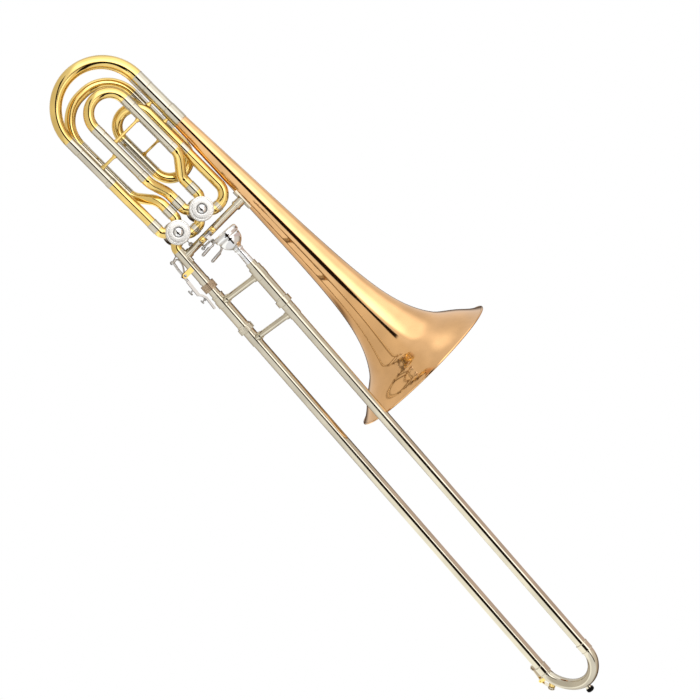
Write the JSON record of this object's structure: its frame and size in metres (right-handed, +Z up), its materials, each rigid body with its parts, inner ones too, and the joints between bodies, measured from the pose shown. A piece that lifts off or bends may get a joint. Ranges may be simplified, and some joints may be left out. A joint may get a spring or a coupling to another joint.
{
  "type": "bass trombone",
  "caption": "Brass slide instrument with a flared bell, sliding crook, rotary valves with thumb and finger levers, and pull-out tuning slides.",
  "frame": {"origin": "centre of the joint between hand slide and bell section, on the axis of the lower slide tube", "axes": "+X along the hand slide towards its crook, +Z up, bell in the XZ plane above the slide, hand slide leaning out towards -Y"},
  "size_m": [1.1754, 0.2424, 0.3077],
  "materials": {
    "gold_brass": "lacquered, polished",
    "yellow_brass": "lacquered, polished",
    "nickel_silver": "polished",
    "satin_silver": "satin",
    "silver_plate": "polished",
    "bronze": "satin",
    "steel": "polished",
    "rubber": "matt"
  },
  "bodies": {
    "bell_section": {"bell": "gold_brass", "coil_stays": "yellow_brass", "d_feed_tubes": "yellow_brass", "d_tuning_sleeves": "nickel_silver", "f_feed_tube": "yellow_brass", "f_inner_sleeve": "nickel_silver", "f_return_bow": "yellow_brass", "f_small_bow": "yellow_brass", "f_top_tube": "yellow_brass", "f_tuning_sleeves": "nickel_silver", "finger_lever_saddle": "yellow_brass", "hand_brace": "nickel_silver", "hand_brace_flanges": "nickel_silver", "main_return_tube": "yellow_brass", "main_tuning_sleeves": "nickel_silver", "slide_receiver": "nickel_silver", "slide_stays": "yellow_brass", "thumb_lever_posts": "yellow_brass", "tube_ferrules": "nickel_silver", "valve_bearing_plates": "yellow_brass", "valve_cap_lower": "satin_silver", "valve_cap_upper": "satin_silver", "valve_casing_lower": "nickel_silver", "valve_casing_upper": "nickel_silver", "valve_knuckles_lower": "yellow_brass", "valve_knuckles_upper": "yellow_brass"},
    "main_slide": {"main_tuning_bow": "yellow_brass", "main_tuning_legs": "nickel_silver"},
    "d_slide": {"d_tuning_bow": "yellow_brass", "d_tuning_legs": "nickel_silver"},
    "f_slide": {"f_tuning_bow": "yellow_brass", "f_tuning_legs": "nickel_silver"},
    "rotor_lower_body": {"rotor_lower": "yellow_brass", "stop_arm_lower": "nickel_silver"},
    "rotor_upper_body": {"rotor_upper": "yellow_brass", "stop_arm_upper": "nickel_silver"},
    "link_lower_body": {"link_lower": "steel"},
    "link_upper_body": {"link_upper": "steel"},
    "thumb_lever_body": {"thumb_lever": "silver_plate", "thumb_lever_adjuster": "steel"},
    "finger_lever_body": {"finger_lever": "silver_plate", "finger_lever_adjuster": "steel"},
    "slide_section": {"slide_tenon": "nickel_silver", "inner_tube_lower": "silver_plate", "inner_tube_upper": "silver_plate", "cork_barrel_lower": "nickel_silver", "cork_barrel_upper": "nickel_silver", "inner_brace": "nickel_silver", "mouthpiece_receiver": "nickel_silver"},
    "lock_nut_body": {"lock_nut": "bronze"},
    "lock_ring_body": {"slide_lock_ring": "nickel_silver"},
    "mouthpiece_body": {"mouthpiece": "silver_plate"},
    "outer_slide": {"outer_tube_lower": "nickel_silver", "outer_tube_upper": "nickel_silver", "outer_brace": "nickel_silver", "slide_crook": "nickel_silver", "crook_ferrules": "nickel_silver", "bumper": "rubber", "water_key_mount": "yellow_brass"},
    "water_key_body": {"water_key": "nickel_silver"}
  },
  "joints": [
    {"name": "main_slide_pull", "type": "slide", "parent": "bell_section", "child": "main_slide", "axis": [-0.9976, 0, -0.0698], "range_m": [0, 0.045]},
    {"name": "d_slide_pull", "type": "slide", "parent": "bell_section", "child": "d_slide", "axis": [-0.9976, 0, -0.0698], "range_m": [0, 0.036]},
    {"name": "f_slide_pull", "type": "slide", "parent": "bell_section", "child": "f_slide", "axis": [-0.9976, 0, -0.0698], "range_m": [0, 0.045]},
    {"name": "rotor_lower_turn", "type": "hinge", "parent": "bell_section", "child": "rotor_lower_body", "pos_m": [-0.08763, 0, 0.01462], "axis": [0, 1, 0], "range_deg": [0, 90], "stiffness_Nm_per_rad": 0.03, "springref_deg": -22.92},
    {"name": "rotor_upper_turn", "type": "hinge", "parent": "bell_section", "child": "rotor_upper_body", "pos_m": [-0.09096, 0, 0.06221], "axis": [0, 1, 0], "range_deg": [0, 90], "stiffness_Nm_per_rad": 0.03, "springref_deg": -22.92},
    {"name": "link_lower_pivot", "type": "hinge", "parent": "rotor_lower_body", "child": "link_lower_body", "pos_m": [-0.09443, 0.0261, 0.02053], "axis": [0, 1, 0], "range_deg": [-90, 0]},
    {"name": "link_upper_pivot", "type": "hinge", "parent": "rotor_upper_body", "child": "link_upper_body", "pos_m": [-0.08703, 0.0305, 0.06674], "axis": [0, 1, 0], "range_deg": [-90, 0]},
    {"name": "thumb_lever_turn", "type": "hinge", "parent": "bell_section", "child": "thumb_lever_body", "pos_m": [-0.05656, -0.0096, 0.04617], "axis": [0.0698, 0, -0.9976], "range_deg": [0, 23.67]},
    {"name": "finger_lever_turn", "type": "hinge", "parent": "bell_section", "child": "finger_lever_body", "pos_m": [-0.03331, 0.013, -0.01686], "axis": [0, -1, 0], "range_deg": [0, 19.86]},
    {"name": "slide_swivel", "type": "hinge", "parent": "bell_section", "child": "slide_section", "pos_m": [0, 0, 0], "axis": [1, 0, 0], "range_deg": [0, 35]},
    {"name": "lock_nut_turn", "type": "hinge", "parent": "slide_section", "child": "lock_nut_body", "pos_m": [0.001, 0, 0], "axis": [1, 0, 0], "range_deg": [-180, 180]},
    {"name": "lock_ring_turn", "type": "hinge", "parent": "slide_section", "child": "lock_ring_body", "pos_m": [0.082, 0, 0], "axis": [1, 0, 0], "range_deg": [0, 30]},
    {"name": "mouthpiece_pull", "type": "slide", "parent": "slide_section", "child": "mouthpiece_body", "axis": [-1, 0, 0], "range_m": [0, 0.045]},
    {"name": "hand_slide", "type": "slide", "parent": "slide_section", "child": "outer_slide", "axis": [1, 0, 0], "range_m": [0, 0.6]},
    {"name": "water_key_open", "type": "hinge", "parent": "outer_slide", "child": "water_key_body", "pos_m": [0.7565, 0.01393, -0.00975], "axis": [0, 0.5736, 0.8192], "range_deg": [0, 10], "stiffness_Nm_per_rad": 0.02, "springref_deg": -22.92}
  ],
  "couplings": [
    {"joint": "link_lower_pivot", "follows": "rotor_lower_turn", "ratio": -1},
    {"joint": "link_upper_pivot", "follows": "rotor_upper_turn", "ratio": -1},
    {"joint": "thumb_lever_turn", "follows": "rotor_lower_turn", "ratio": 0.263},
    {"joint": "finger_lever_turn", "follows": "rotor_upper_turn", "ratio": 0.2206}
  ]
}
